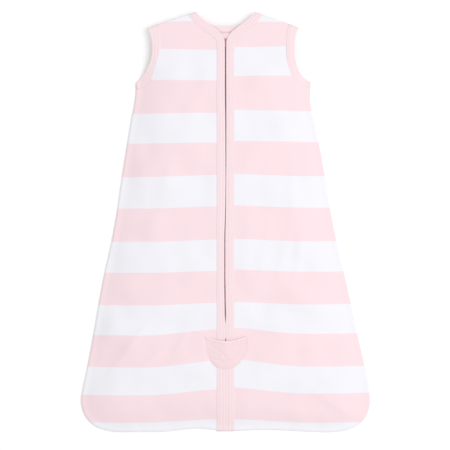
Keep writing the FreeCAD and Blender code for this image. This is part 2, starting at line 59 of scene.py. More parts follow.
def linear(hex_colour):
    """sRGB hex to linear RGBA."""
    parts = [int(hex_colour[i:i + 2], 16) / 255 for i in (1, 3, 5)]
    return [c / 12.92 if c <= 0.04045 else ((c + 0.055) / 1.055) ** 2.4 for c in parts] + [1.0]


def add_node(tree, kind, inputs=None, **settings):
    """Adds a node; inputs are numbers, colours or other nodes' sockets, by name or place."""
    made = tree.nodes.new(kind)
    for key, value in settings.items():
        setattr(made, key, value)
    for key, value in (inputs or {}).items():
        if isinstance(value, bpy.types.NodeSocket):
            tree.links.new(value, made.inputs[key])
        else:
            made.inputs[key].default_value = value
    return made


def new_material(name):
    """An empty material and its tree."""
    material = bpy.data.materials.new(name)
    material.use_nodes = True
    material.node_tree.nodes.clear()
    return material, material.node_tree


camera_data = bpy.data.cameras.new("overhead_camera")
camera_data.sensor_width = 36.0
camera_data.lens = 36.0 * CAMERA_HEIGHT / VIEW_WIDTH
camera = bpy.data.objects.new("overhead_camera", camera_data)
camera.location = (VIEW_CENTRE[0], VIEW_CENTRE[1], CAMERA_HEIGHT + CLOTH_TOP)
bpy.context.collection.objects.link(camera)
bpy.context.scene.camera = camera
bpy.context.scene.view_settings.view_transform = "Standard"

lamp_data = bpy.data.lights.new("soft_lamp", "AREA")
lamp_data.shape = "DISK"
lamp_data.size = 1.6
lamp_data.energy = 21.3
lamp = bpy.data.objects.new("soft_lamp", lamp_data)
lamp.location = (1.00, 0.22, 2.15)
lamp.rotation_euler = (Vector((0.0, 0.0, 0.0)) - lamp.location).to_track_quat("-Z", "Y").to_euler()
bpy.context.collection.objects.link(lamp)

world = bpy.data.worlds.new("white_room")
world.use_nodes = True
sky = world.node_tree
sky.nodes.clear()
sky_ray = add_node(sky, "ShaderNodeLightPath")
seen = add_node(sky, "ShaderNodeMath", {0: sky_ray.outputs["Is Camera Ray"],
                                        1: sky_ray.outputs["Is Glossy Ray"]}, operation="MAXIMUM")
seen = add_node(sky, "ShaderNodeMath", {0: seen.outputs[0], 1: sky_ray.outputs["Is Transmission Ray"]},
                operation="MAXIMUM")
room = add_node(sky, "ShaderNodeBackground", {"Color": (1.0, 1.0, 1.0, 1.0), "Strength": 0.70})
white = add_node(sky, "ShaderNodeBackground", {"Color": (1.0, 1.0, 1.0, 1.0), "Strength": 1.0})
mixed = add_node(sky, "ShaderNodeMixShader", {0: seen.outputs[0], 1: room.outputs[0], 2: white.outputs[0]})
add_node(sky, "ShaderNodeOutputWorld", {"Surface": mixed.outputs[0]})
bpy.context.scene.world = world

board_mesh = bpy.data.meshes.new("white_board")
board_mesh.from_pydata([(x, y, -BOARD_DROP) for x, y in ((-4, -4), (4, -4), (4, 4), (-4, 4))], [],
                       [(0, 1, 2, 3)])
board = bpy.data.objects.new("white_board", board_mesh)
bpy.context.collection.objects.link(board)
board_paint, tree = new_material("matt_white_board")
ray = add_node(tree, "ShaderNodeLightPath")
seen = add_node(tree, "ShaderNodeMath", {0: ray.outputs["Is Camera Ray"], 1: ray.outputs["Is Glossy Ray"]},
                operation="MAXIMUM")
seen = add_node(tree, "ShaderNodeMath", {0: seen.outputs[0], 1: ray.outputs["Is Transmission Ray"]},
                operation="MAXIMUM")
plain = add_node(tree, "ShaderNodeBsdfDiffuse", {"Color": (0.8, 0.8, 0.8, 1.0)})
shown = add_node(tree, "ShaderNodeBsdfDiffuse", {"Color": (0.80, 0.80, 0.80, 1.0)})
glow = add_node(tree, "ShaderNodeEmission", {"Color": (1.0, 1.0, 1.0, 1.0), "Strength": 0.26})
bright = add_node(tree, "ShaderNodeAddShader", {0: shown.outputs[0], 1: glow.outputs[0]})
mixed = add_node(tree, "ShaderNodeMixShader", {0: seen.outputs[0], 1: plain.outputs[0], 2: bright.outputs[0]})
add_node(tree, "ShaderNodeOutputMaterial", {"Surface": mixed.outputs[0]})
board_mesh.materials.append(board_paint)

# --- Back panel ----------------------------------------------------------------------------------
# One piece of single cotton jersey, knitted in 50 mm stripes of pink and white, cut to the whole
# outline. It lies on the board and curls up at the shoulders, where it is sewn to the front.
JERSEY = 1.0
NET = 4.0
LEFT_UNDERARM = (-144.0, 224.0)
RIGHT_UNDERARM = (137.0, 225.5)
OUTLINE = [LEFT_UNDERARM, (-144.5, 205), (-150.5, 170), (-158.5, 122), (-166.5, 72), (-174.5, 17),
           (-183.5, -33), (-194, -80), (-203.5, -130), (-213, -185), (-222.5, -235), (-229.5, -268),
           (-232, -287), (-227.5, -307), (-213, -325), (-190, -334.5), (-140, -336.6), (-90, -335.5),
           (-48, -331), (0, -335), (50, -333.5), (92, -334), (140, -336.5), (191, -334.5), (214, -325),
           (228, -307), (232, -287), (230.5, -268), (224.5, -235), (213, -185), (201.5, -130),
           (190, -80), (179, -33), (169, 17), (160, 72), (151, 122), (140.5, 170), (135.5, 203),
           RIGHT_UNDERARM]
NECK_SHOULDER = (47.0, 337.0)
LEFT_SHOULDER = (-125.0, 310.8)
RIGHT_SHOULDER = (117.0, 311.8)
BACK_NECK_EDGE = [(-47, 337), (-36, 325.5), (-22, 317.5), (0, 314), (22, 317.5), (36, 325.5), (47, 337)]
BACK_NECK_SEAM = [(-60, 332.2), (-45, 315.5), (-26, 305), (0, 301), (26, 305), (45, 315.5), (60, 332.2)]
LEFT_ARM_EDGE = [LEFT_SHOULDER, (-119.5, 295), (-117.8, 279), (-121, 258), (-129.3, 240.8),
                 (-137, 231), LEFT_UNDERARM]
LEFT_ARM_SEAM = [(-105.5, 317.4), (-104, 300), (-104.5, 279), (-109.5, 250), (-119.2, 230),
                 (-131, 219), (-142.9, 214)]
RIGHT_ARM_EDGE = [RIGHT_SHOULDER, (112, 297), (110.6, 283), (112.5, 258), (120.8, 238),
                  (129, 230), RIGHT_UNDERARM]
RIGHT_ARM_SEAM = [(101, 317.7), (97.8, 300), (97.3, 283), (100.5, 250), (110, 231),
                  (122, 220), (135.6, 214.5)]
LAP = 9.0 / 13.0
SHOULDER_Z = 11.2
SHOULDER_ROLL = 70.0
NECK_LIFT = 8.0
NECK_LIFT_HALF = 50.0
NECK_LIFT_LOW = 270.0
NECK_LIFT_RUN = 30.0
STRIPE = 50.0
LEFT_STRIPE_EDGES = [322.5, 276, 227, 175.5, 127.5, 76, 25.5, -27.5, -77.5, -129, -171, -220.5, -267,
                     -316, -366]
RIGHT_STRIPE_EDGES = [321.5, 280.5, 234, 180, 130, 77.5, 27, -26.5, -75.5, -127.5, -168.5, -219, -264,
                      -316, -366]
STRIPE_DROP = [2.0, -2.0, -1.0, 1.5, 1.0, 3.5, 3.5, 4.0, 3.5, 4.0, 10.0, 12.0, 10.0, 5.5, 5.5]
STRIPE_DROP_WIDTH = 130.0


def curve_through(points, step=None, count=None):
    """Even points on a smooth curve through the given ones, in millimetres."""
    p = np.array(points, float)
    t = np.concatenate([[0.0], np.cumsum(np.hypot(*np.diff(p, axis=0).T))])
    gap, n = np.diff(t), len(p)
    matrix, right = np.eye(n), np.zeros((n, 2))
    for i in range(1, n - 1):
        matrix[i, i - 1:i + 2] = gap[i - 1], 2 * (gap[i - 1] + gap[i]), gap[i]
        right[i] = 6 * ((p[i + 1] - p[i]) / gap[i] - (p[i] - p[i - 1]) / gap[i - 1])
    bend = np.linalg.solve(matrix, right)
    s = np.linspace(0, t[-1], 60 * n)
    k = np.clip(np.searchsorted(t, s, "right") - 1, 0, n - 2)
    a, b, h = (t[k + 1] - s)[:, None], (s - t[k])[:, None], gap[k][:, None]
    fine = (bend[k] * a ** 3 + bend[k + 1] * b ** 3) / (6 * h)
    fine += (p[k] / h - bend[k] * h / 6) * a + (p[k + 1] / h - bend[k + 1] * h / 6) * b
    run = np.concatenate([[0.0], np.cumsum(np.hypot(*np.diff(fine, axis=0).T))])
    count = count or max(2, int(round(run[-1] / step)) + 1)
    even = np.linspace(0, run[-1], count)
    return np.stack([np.interp(even, run, fine[:, 0]), np.interp(even, run, fine[:, 1])], axis=1)


def between(first, second, share):
    """The curve that lies a share of the way from the first control points to the second."""
    return [(a[0] + (b[0] - a[0]) * share, a[1] + (b[1] - a[1]) * share) for a, b in zip(first, second)]


def distance_to(points, line):
    """Distance of each point from a line of points."""
    a, d = line[:-1], np.diff(line, axis=0)
    rel = points[:, None, :] - a[None]
    share = np.clip((rel * d).sum(-1) / (d * d).sum(-1), 0, 1)
    return np.linalg.norm(rel - share[..., None] * d, axis=-1).min(1)


def back_height(points):
    """Underside of the back: on the board, curled up at the shoulder seams and held up by the neck rib."""
    mirrored_neck = (-NECK_SHOULDER[0], NECK_SHOULDER[1])
    left = distance_to(points, np.array([mirrored_neck, LEFT_SHOULDER], float))
    right = distance_to(points, np.array([NECK_SHOULDER, RIGHT_SHOULDER], float))
    curl = SHOULDER_Z * np.clip(1 - np.minimum(left, right) / SHOULDER_ROLL, 0, 1) ** 3
    up = np.clip((points[:, 1] - NECK_LIFT_LOW) / NECK_LIFT_RUN, 0, 1)
    lift = NECK_LIFT * np.exp(-(points[:, 0] / NECK_LIFT_HALF) ** 6) * up * up * (3 - 2 * up)
    return np.hypot(curl, lift)


def stripe_run(points):
    """How far down the knitted cloth a point lies, in millimetres, with the stripes bowed as laid."""
    x, y = points[:, 0], points[:, 1]
    share = np.clip(np.abs(x) / STRIPE_DROP_WIDTH, 0, 1)
    share = share * share * (3 - 2 * share)
    run = np.zeros(len(points))
    for side, edges in ((x < 0, LEFT_STRIPE_EDGES), (x >= 0, RIGHT_STRIPE_EDGES)):
        for i in np.nonzero(side)[0]:
            laid = [edge - drop * share[i] for edge, drop in zip(edges, STRIPE_DROP)]
            run[i] = np.interp(-y[i], [-e for e in laid], [STRIPE * k for k in range(len(laid))])
            if -y[i] < -laid[0]:
                run[i] = -y[i] + laid[0]
    return run


def inside(points, outline):
    """True for each point inside the closed outline."""
    x, y = points[:, 0:1], points[:, 1:2]
    x0, y0 = outline[:, 0], outline[:, 1]
    x1, y1 = np.roll(x0, -1), np.roll(y0, -1)
    crosses = ((y0 > y) != (y1 > y)) & (x < (x1 - x0) * (y - y0) / np.where(y1 == y0, 1e-9, y1 - y0) + x0)
    return crosses.sum(1) % 2 == 1


def mesh_piece(name, verts, faces, uvs, material):
    """A smooth-shaded object from millimetre points, with a UV map in metres."""
    mesh = bpy.data.meshes.new(name)
    mesh.from_pydata([tuple(v) for v in np.array(verts) * MM], [], faces)
    mesh.polygons.foreach_set("use_smooth", [True] * len(mesh.polygons))
    layer = mesh.uv_layers.new(name="cloth")
    loops = np.zeros(len(mesh.loops), int)
    mesh.loops.foreach_get("vertex_index", loops)
    layer.data.foreach_set("uv", (np.array(uvs)[loops] * MM).ravel())
    mesh.materials.append(material)
    piece = bpy.data.objects.new(name, mesh)
    bpy.context.collection.objects.link(piece)
    return piece


def inset(outline, distance):
    """Points at an even distance inside a closed outline."""
    along = np.roll(outline, -1, 0) - np.roll(outline, 1, 0)
    along /= np.linalg.norm(along, axis=1)[:, None]
    area = np.sum(outline[:, 0] * np.roll(outline[:, 1], -1) - np.roll(outline[:, 0], -1) * outline[:, 1])
    inward = np.column_stack([-along[:, 1], along[:, 0]]) * (1 if area > 0 else -1)
    moved = outline + inward * distance
    moved = moved[inside(moved, outline)]
    return moved[distance_to(moved, np.vstack([outline, outline[:1]])) > distance * 0.93]


def cut_cloth(name, outline, height, thickness, net, material, uv=None):
    """Fills an outline with an even net, lays it at a height and closes it to a sheet."""
    spaced = []
    for start, end in zip(outline, np.roll(outline, -1, 0)):
        parts = max(1, int(np.linalg.norm(end - start) / net + 0.5))
        spaced += [start + (end - start) * k / parts for k in range(parts)]
    outline = np.array(spaced)
    low, high = outline.min(0), outline.max(0)
    rows = np.arange(low[1], high[1], net * 0.866)
    grid = [(x + (i % 2) * net / 2, y) for i, y in enumerate(rows) for x in np.arange(low[0], high[0], net)]
    grid = np.array(grid)
    grid = grid[inside(grid, outline)]
    rings = [inset(outline, net * share) for share in (0.3, 0.8, 1.5, 2.3)]
    grid = grid[distance_to(grid, np.vstack([outline, outline[:1]])) > net * 2.8]
    plan = np.vstack([outline] + rings + [grid])
    filled = geometry.delaunay_2d_cdt([Vector(p) for p in plan], [], [list(range(len(outline)))], 1, 1e-5)
    plan = np.array([tuple(v) for v in filled[0]])
    faces = [tuple(f) for f in filled[2]]
    base = height(plan)
    n = len(plan)
    top = np.column_stack([plan, base + thickness])
    under = np.column_stack([plan, base])
    directed = {(f[i], f[(i + 1) % 3]) for f in faces for i in range(3)}
    sides = [(b, a, a + n, b + n) for a, b in directed if (b, a) not in directed]
    all_faces = faces + [tuple(i + n for i in reversed(f)) for f in faces] + sides
    flat = plan if uv is None else uv(plan)
    return mesh_piece(name, np.vstack([top, under]), all_faces, np.vstack([flat, flat]), material)


def striped(points):
    return np.column_stack([points[:, 0], stripe_run(points)])


# Single jersey: fine columns of knit loops give a matt face with a soft sheen at its folds.
# The loops are drawn at 1.2 mm, a little coarser than real, so that they show.
PINK = "#FBE3E8"
WHITE = "#F5F4FA"
PLAIN_PINK = "#F9DFE3"
LOOP = 1.2


def jersey(name, pink, white):
    """Knitted cotton in even stripes down the cloth."""
    material, tree = new_material(name)
    cloth_map = add_node(tree, "ShaderNodeUVMap", uv_map="cloth")
    parts = add_node(tree, "ShaderNodeSeparateXYZ", {0: cloth_map.outputs[0]})
    wander = add_node(tree, "ShaderNodeTexNoise", {"Vector": cloth_map.outputs[0], "Scale": 60.0,
                                                   "Detail": 2.0})
    wander = add_node(tree, "ShaderNodeMath", {0: wander.outputs[0], 1: 0.0008}, operation="MULTIPLY")
    down = add_node(tree, "ShaderNodeMath", {0: parts.outputs[1], 1: wander.outputs[0]}, operation="ADD")
    repeat = add_node(tree, "ShaderNodeMath", {0: down.outputs[0], 1: 2 * STRIPE * MM},
                      operation="FLOORED_MODULO")
    second = add_node(tree, "ShaderNodeMath", {0: repeat.outputs[0], 1: STRIPE * MM},
                      operation="GREATER_THAN")
    yarn = add_node(tree, "ShaderNodeMix", {0: second.outputs[0], 6: linear(pink), 7: linear(white)},
                    data_type="RGBA")
    columns = add_node(tree, "ShaderNodeTexWave", {"Vector": cloth_map.outputs[0], "Distortion": 0.0,
                                                   "Scale": 1 / (LOOP * MM) / 20 * 6.2832},
                                                   bands_direction="X")
    rows = add_node(tree, "ShaderNodeTexWave", {"Vector": cloth_map.outputs[0], "Distortion": 0.0,
                                                "Scale": 1.3 / (LOOP * MM) / 20 * 6.2832},
                                                bands_direction="Y")
    loops = add_node(tree, "ShaderNodeMath", {0: columns.outputs[1], 1: rows.outputs[1]},
                     operation="MULTIPLY")
    knit = add_node(tree, "ShaderNodeBump", {"Height": loops.outputs[0], "Strength": 0.25,
                                             "Distance": 0.0002})
    surface = add_node(tree, "ShaderNodeBsdfPrincipled",
                       {"Base Color": yarn.outputs[2], "Normal": knit.outputs[0], "Roughness": 0.92,
                        "IOR": 1.45, "Specular IOR Level": 0.2, "Sheen Weight": 0.15, "Sheen Roughness": 0.5})
    add_node(tree, "ShaderNodeOutputMaterial", {"Surface": surface.outputs[0]})
    return material


striped_jersey = jersey("cotton_jersey_striped", PINK, WHITE)
plain_jersey = jersey("cotton_jersey_pink", PLAIN_PINK, PLAIN_PINK)

lower_line = curve_through(OUTLINE, NET)
left_raw = curve_through(between(LEFT_ARM_EDGE, LEFT_ARM_SEAM, LAP), NET)
right_raw = curve_through(between(RIGHT_ARM_EDGE, RIGHT_ARM_SEAM, LAP), NET)
back_neck_raw = curve_through(between(BACK_NECK_EDGE, BACK_NECK_SEAM, LAP), NET)
below_left = lower_line[(lower_line[:, 0] > 0) | (lower_line[:, 1] < left_raw[-1][1] - 1)]
lower_run = below_left[(below_left[:, 0] < 0) | (below_left[:, 1] < right_raw[-1][1] - 1)]
back_outline = np.vstack([lower_run, right_raw[::-1], back_neck_raw[::-1], left_raw])
back = cut_cloth("back_panel_jersey", back_outline, back_height, JERSEY, NET, striped_jersey, striped)
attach(back, "bag")
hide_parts("back_panel")

# --- Neck binding of the back, and its tape -------------------------------------------------------
# A strip of cotton rib folded double over the raw edge and sewn down with two rows of stitches.
# A softer tape covers the seam inside.
RIB_WIDTH = 13.0
BAND_STEP = 2.5
RIB_SECTION = [(0.0, 1.0), (0.15, 1.45), (0.6, 1.85), (1.4, 2.02), (2.8, 2.06), (3.7, 1.98), (4.2, 1.72),
               (4.7, 1.98), (6.2, 2.12), (7.8, 2.1), (8.8, 1.98), (9.3, 1.76), (9.8, 1.94), (11.2, 1.9),
               (12.3, 1.66), (12.85, 1.4), (13.0, 1.08), (9.1, 1.04), (9.05, 0.04), (1.0, 0.04), (0.3, 0.25),
               (0.05, 0.6)]
BACK_TAPE_EDGE = [(-52, 319), (-30, 299.5), (0, 294), (30, 299.5), (52, 319)]
BACK_TAPE_SEAM = [(-47, 314.9), (-26.5, 304.6), (0, 300.8), (26.5, 304.6), (47, 314.9)]


def outward(verts, faces):
    """The faces, turned over if they enclose a negative volume."""
    volume = 0.0
    for face in faces:
        a = np.array(verts[face[0]])
        for i in range(1, len(face) - 1):
            volume += a @ np.cross(verts[face[i]], verts[face[i + 1]])
    return faces if volume > 0 else [tuple(reversed(f)) for f in faces]


def band(name, edge, seam, section, height, material):
    """Sweeps a section, given as distance from the free edge and height, between two lines."""
    width = max(across for across, _ in section)
    count, ring = len(edge), len(section)
    run = np.concatenate([[0.0], np.cumsum(np.hypot(*np.diff((edge + seam) / 2, axis=0).T))])
    verts, uvs = np.zeros((count, ring, 3)), np.zeros((count, ring, 2))
    for j, (across, rise) in enumerate(section):
        plan = edge + (seam - edge) * (across / width)
        verts[:, j, :2] = plan
        verts[:, j, 2] = height(plan) + rise
        uvs[:, j, 0] = across
        uvs[:, j, 1] = run
    faces = []
    for i in range(count - 1):
        for j in range(ring):
            k = (j + 1) % ring
            faces.append((i * ring + j, i * ring + k, (i + 1) * ring + k, (i + 1) * ring + j))
    faces.append(tuple(range(ring))[::-1])
    faces.append(tuple((count - 1) * ring + j for j in range(ring)))
    return mesh_piece(name, verts.reshape(-1, 3), outward(verts.reshape(-1, 3), faces), uvs.reshape(-1, 2),
                      material)


# Cotton rib, 1 by 1: narrow upright ribs across the strip, soft and matt, dyed pink. The back neck rib
# uses a lighter copy of the same pink: painted light that offsets the shade it lies in behind the front.
RIB_PINK = "#FBE5E9"
RIB_PINK_PAINTED_LIGHT = "#FFE8EA"
RIB_PITCH = 1.6


def rib_cloth(name, colour):
    material, tree = new_material(name)
    cloth_map = add_node(tree, "ShaderNodeUVMap", uv_map="cloth")
    ribs = add_node(tree, "ShaderNodeTexWave", {"Vector": cloth_map.outputs[0], "Distortion": 0.0,
                                                "Scale": 1 / (RIB_PITCH * MM) / 20 * 6.2832},
                    bands_direction="Y")
    bump = add_node(tree, "ShaderNodeBump", {"Height": ribs.outputs[1], "Strength": 0.35, "Distance": 0.0003})
    surface = add_node(tree, "ShaderNodeBsdfPrincipled",
                       {"Base Color": linear(colour), "Normal": bump.outputs[0], "Roughness": 0.93,
                        "IOR": 1.45, "Specular IOR Level": 0.2, "Sheen Weight": 0.15, "Sheen Roughness": 0.5})
    add_node(tree, "ShaderNodeOutputMaterial", {"Surface": surface.outputs[0]})
    return material


rib_knit = rib_cloth("cotton_rib_pink", RIB_PINK)
# A lighter copy of the rib: painted light for the back neck rib, which lies in the front's shade.
rib_painted_light = rib_cloth("cotton_rib_pink_painted_light", RIB_PINK_PAINTED_LIGHT)


def paired(edge_points, seam_points, step):
    """The free edge and the seam as two lines with the same number of points."""
    edge = curve_through(edge_points, step)
    return edge, curve_through(seam_points, count=len(edge))


NECK_STAND = 1.5
back_neck_seam = curve_through(BACK_NECK_SEAM, BAND_STEP)


def standing_height(points):
    """The back's rib stands up a little from its seam behind the front."""
    away = np.clip(distance_to(points, back_neck_seam) / RIB_WIDTH, 0, 1)
    return back_height(points) + NECK_STAND * away * np.exp(-(points[:, 0] / 34) ** 4)


edge, seam = paired(BACK_NECK_EDGE, BACK_NECK_SEAM, BAND_STEP)
# The back neck rib takes the lighter copy: painted light against the front's shade.
back_neck = band("neck_binding_back_rib", edge, seam, RIB_SECTION, standing_height, rib_painted_light)
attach(back_neck, "bag")
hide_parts("neck_binding_back")

TAPE_SECTION = [(0.0, 1.3), (0.3, 1.6), (5.7, 1.6), (6.0, 1.3), (5.7, 1.05), (0.3, 1.05)]
edge, seam = paired(BACK_TAPE_EDGE, BACK_TAPE_SEAM, BAND_STEP)
a_tape = band("back_neck_tape_twill", edge, seam, TAPE_SECTION, back_height, rib_knit)
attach(a_tape, "bag")
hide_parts("back_neck_tape")

# --- Front panels ---------------------------------------------------------------------------------
# Two pieces of the same jersey, sewn to the back at the sides, hem and shoulders, and lapped under the
# rib strips. The air inside holds them up, and they roll down to the seams. The right one lays open.
FRONT_Z = 14.0
SEAM_Z = 2.6
SEAM_WIDTH = 6.0
ROLL = 75.0
ROLL_EASE = 5.0
CURL = 2.6
CURL_DROP = 1.4
PUCKER = 1.3
PUCKER_PITCH = 17.0
PUCKER_START = 9.0
PUCKER_REACH = 26.0
PUCKER_TOP = -250.0
PUCKER_RUN = 30.0
# Soft rises: spacing across and along, place in the noise, height.
SOFT_RISES = [(62, 50, 3.1, 4.4), (30, 36, 8.4, 1.8)]
CALM_AT_SEAM = 30.0
CALM_AT_STRIP = 22.0
CALM_ABOVE = 300.0
CALM_RUN = 50.0
STRIP_RAW = 10.0
STRIP_OUTER = 14.0
STRIP_INNER = 1.1
ZIP_TOP = 290.0
NECK_EDGE = [NECK_SHOULDER, (34.5, 324.5), (23.5, 316.5), (13.6, 308.7), (5.6, 300.5), (STRIP_INNER, ZIP_TOP)]
NECK_SEAM = [(60.0, 332.2), (43.0, 314.5), (31.5, 306.0), (22.5, 299.0), (16.5, 293.6),
             (STRIP_OUTER, ZIP_TOP)]
FOLDS = [(-150, -195, 45, 7, 0.9, 2.4), (-112, -212, 40, 6, 0.75, 2.0), (-70, -188, 30, 8, 1.1, 1.6),
         (118, -52, 45, 8, 1.45, 2.0), (92, -60, 40, 9, 1.35, 1.6), (60, -50, 38, 9, 1.4, 1.5),
         (132, 130, 60, 9, 1.75, 1.8), (108, 60, 55, 9, 1.6, 1.4), (-95, 60, 60, 12, 1.3, 1.6),
         (-60, -100, 50, 14, 0.4, 1.8), (-45, 190, 60, 16, 1.2, 1.4), (60, 235, 34, 16, 0.5, 1.6),
         (-75, 245, 30, 12, 0.3, 1.5), (100, -200, 60, 9, 0.15, 1.8), (60, -255, 40, 7, 0.35, 1.8),
         (-95, -285, 40, 7, 0.5, 1.6), (-165, -290, 34, 7, 0.8, 1.6), (165, -285, 40, 8, -0.6, 1.6)]


def front_base(points):
    """Underside of the front: flat over the middle, rolled down to the side seams and the hem."""
    past = np.maximum(0, distance_to(points, lower_line) - SEAM_WIDTH)
    share = np.clip((np.hypot(past, ROLL_EASE) - ROLL_EASE) / ROLL, 0, 1)
    return SEAM_Z + (FRONT_Z - SEAM_Z) * (1 - (1 - share) ** 3)


def relaxed(points):
    """The small soft rises and hollows of cloth that has been smoothed by hand, none at its seams."""
    rise = np.zeros(len(points))
    for across_pitch, along_pitch, place, height in SOFT_RISES:
        rise += np.array([noise.noise(Vector((x / across_pitch, y / along_pitch, place))) * height
                          for x, y in points])
    for x0, y0, length, width, turn, height in FOLDS:
        along = (points[:, 0] - x0) * math.cos(turn) + (points[:, 1] - y0) * math.sin(turn)
        across = (points[:, 1] - y0) * math.cos(turn) - (points[:, 0] - x0) * math.sin(turn)
        rise += height * np.exp(-(along / length) ** 2 - (across / width) ** 2)
    to_seam = distance_to(points, lower_line)
    side = np.clip(to_seam / CALM_AT_SEAM, 0, 1)
    strip = np.clip((np.abs(points[:, 0]) - STRIP_OUTER) / CALM_AT_STRIP, 0, 1)
    top = np.clip((CALM_ABOVE - points[:, 1]) / CALM_RUN, 0, 1)
    hem = np.clip(to_seam / PUCKER_START, 0, 1) * np.exp(-(to_seam / PUCKER_REACH) ** 2)
    hem *= np.clip((PUCKER_TOP - points[:, 1]) / PUCKER_RUN, 0, 1)
    puckers = np.array([noise.noise(Vector((x / PUCKER_PITCH, y / 70, 5.6))) for x, y in points]) * PUCKER
    return (rise * side + puckers * hem) * strip * top


def front_height(points):
    near = np.clip(1 - distance_to(points, lower_line) / CURL, 0, 1)
    return front_base(points) + relaxed(points) - CURL_DROP * near ** 2


def mirrored(points):
    return [(-x, y) for x, y in points]


neck_raw = between(NECK_EDGE, NECK_SEAM, LAP)[:-1] + [(STRIP_RAW, ZIP_TOP)]
left_neck = curve_through(mirrored(neck_raw), NET)
right_neck = curve_through(neck_raw, NET)


def straight(x, y0, y1, step=NET):
    count = int(abs(y1 - y0) / step) + 1
    return np.column_stack([np.full(count, x), np.linspace(y0, y1, count)])


left_low = lower_run[lower_run[:, 0] < -STRIP_RAW]
left_low = left_low[: np.argmax(left_low[:, 0]) + 1]
right_low = lower_run[lower_run[:, 0] > STRIP_RAW]
left_cut = straight(-STRIP_RAW, left_low[-1][1], ZIP_TOP + 3)[:-1]
right_cut = straight(STRIP_RAW, ZIP_TOP + 3, right_low[0][1])[1:]
left_outline = np.vstack([left_low, left_cut, left_neck[::-1], left_raw])
right_outline = np.vstack([right_low, right_raw[::-1], right_neck, right_cut])
front_left = cut_cloth("front_left_jersey", left_outline, front_height, JERSEY, NET, striped_jersey, striped)
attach(front_left, "bag")
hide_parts("front_left_panel")
front_right = cut_cloth("front_right_jersey", right_outline, front_height, JERSEY, NET, striped_jersey,
                        striped)
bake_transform(front_right)
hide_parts("front_right_panel", "front_right_flap")

# --- Armhole bindings -----------------------------------------------------------------------------
# The same folded rib round each armhole, one loop from the underarm over the shoulder and back:
# the front half lies on the front panel and the back half on the back panel.
arm_bindings = []
for side, edge_points, seam_points in (("left", LEFT_ARM_EDGE, LEFT_ARM_SEAM),
                                       ("right", RIGHT_ARM_EDGE, RIGHT_ARM_SEAM)):
    edge, seam = paired(edge_points, seam_points, BAND_STEP)
    for layer_name, height in (("front", front_base), ("back", back_height)):
        piece = band("armhole_rib_%s_%s" % (side, layer_name), edge, seam, RIB_SECTION, height, rib_knit)
        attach(piece, "bag")
        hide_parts("armhole_binding_%s_%s" % (side, layer_name))
        arm_bindings.append(piece)

# --- Neck binding and zip strips ------------------------------------------------------------------
# On each side one rib strip runs down the neck edge, turns at the top of the zip and follows it to the
# hem. The two free edges nearly meet over the teeth, and lie shut below the zip.
STRIP_STEP = 3.0
HEM_Y = -335.0
GAP_LINE = [(ZIP_TOP, -0.3, 0.6), (282, 0.0, 0.9), (250, 0.0, 0.9), (222, 0.0, 1.0), (200, 0.1, 1.0),
            (165, 0.4, 0.7), (130, 0.5, 0.55), (95, 0.5, 0.45), (70, 0.4, 0.25), (30, 0.2, 0.35),
            (0, -0.5, 0.5),
            (-20, -1.1, 0.6), (-90, -1.2, 0.65), (-105, -1.0, 0.85), (-125, -0.7, 0.7), (-145, -0.3, 0.9),
            (-152, -0.2, 0.7), (-164, 0.0, -0.2), (-184, 0.0, -0.2), (-190, 0.0, 1.0), (-212, 0.0, 1.0),
            (-224, 0.0, -0.3), (HEM_Y, 0.0, -0.3)]


def strip_lines(side):
    """Free edge and seam from the shoulder to the hem, on one side of the zip."""
    edge, seam = paired(NECK_EDGE, NECK_SEAM, BAND_STEP)
    down = np.linspace(ZIP_TOP, HEM_Y, int((ZIP_TOP - HEM_Y) / STRIP_STEP))[1:]
    heights = [-g[0] for g in GAP_LINE]
    centre = np.interp(-down, heights, [g[1] for g in GAP_LINE])
    half = np.interp(-down, heights, [g[2] for g in GAP_LINE])
    blend_in = np.clip((ZIP_TOP - down) / 20, 0, 1)
    free = side * (STRIP_INNER + (half - STRIP_INNER) * blend_in) + centre * blend_in
    edge[:, 0] *= side
    seam[:, 0] *= side
    return (np.vstack([edge, np.column_stack([free, down])]),
            np.vstack([seam, np.column_stack([np.full(len(down), side * STRIP_OUTER), down])]))


left_strip = band("zip_strip_left_rib", *strip_lines(-1), RIB_SECTION, front_base, rib_knit)
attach(left_strip, "bag")
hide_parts("neck_binding_left", "placket_left")
right_strip = band("zip_strip_right_rib", *strip_lines(1), RIB_SECTION, front_base, rib_knit)
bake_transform(right_strip)
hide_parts("neck_binding_right", "neck_binding_right_end", "placket_right",
            "placket_right_lower")

# --- Seams inside ---------------------------------------------------------------------------------
# The side, hem and shoulder seams are overlocked edges that lie inside, between front and back.
SEAM_SECTION = [(0.0, 1.4), (0.6, 1.9), (4.4, 1.9), (5.0, 1.4), (4.4, 1.05), (0.6, 1.05)]


def offset(line, distance):
    """The line moved to its left."""
    along = np.gradient(line, axis=0)
    along /= np.linalg.norm(along, axis=1)[:, None]
    return line + np.column_stack([-along[:, 1], along[:, 0]]) * distance


overlock, tree = new_material("polyester_overlock_thread")
cloth_map = add_node(tree, "ShaderNodeUVMap", uv_map="cloth")
threads = add_node(tree, "ShaderNodeTexWave", {"Vector": cloth_map.outputs[0], "Distortion": 0.4,
                                               "Scale": 1 / (2.0 * MM) / 20 * 6.2832}, bands_direction="Y")
thread_bump = add_node(tree, "ShaderNodeBump", {"Height": threads.outputs[1], "Strength": 0.6,
                                                "Distance": 0.0004})
surface = add_node(tree, "ShaderNodeBsdfPrincipled",
                   {"Base Color": linear("#F9E6EA"), "Normal": thread_bump.outputs[0], "Roughness": 0.7,
                    "IOR": 1.5,
                    "Specular IOR Level": 0.4})
add_node(tree, "ShaderNodeOutputMaterial", {"Surface": surface.outputs[0]})


def flat_height(points):
    return np.zeros(len(points))


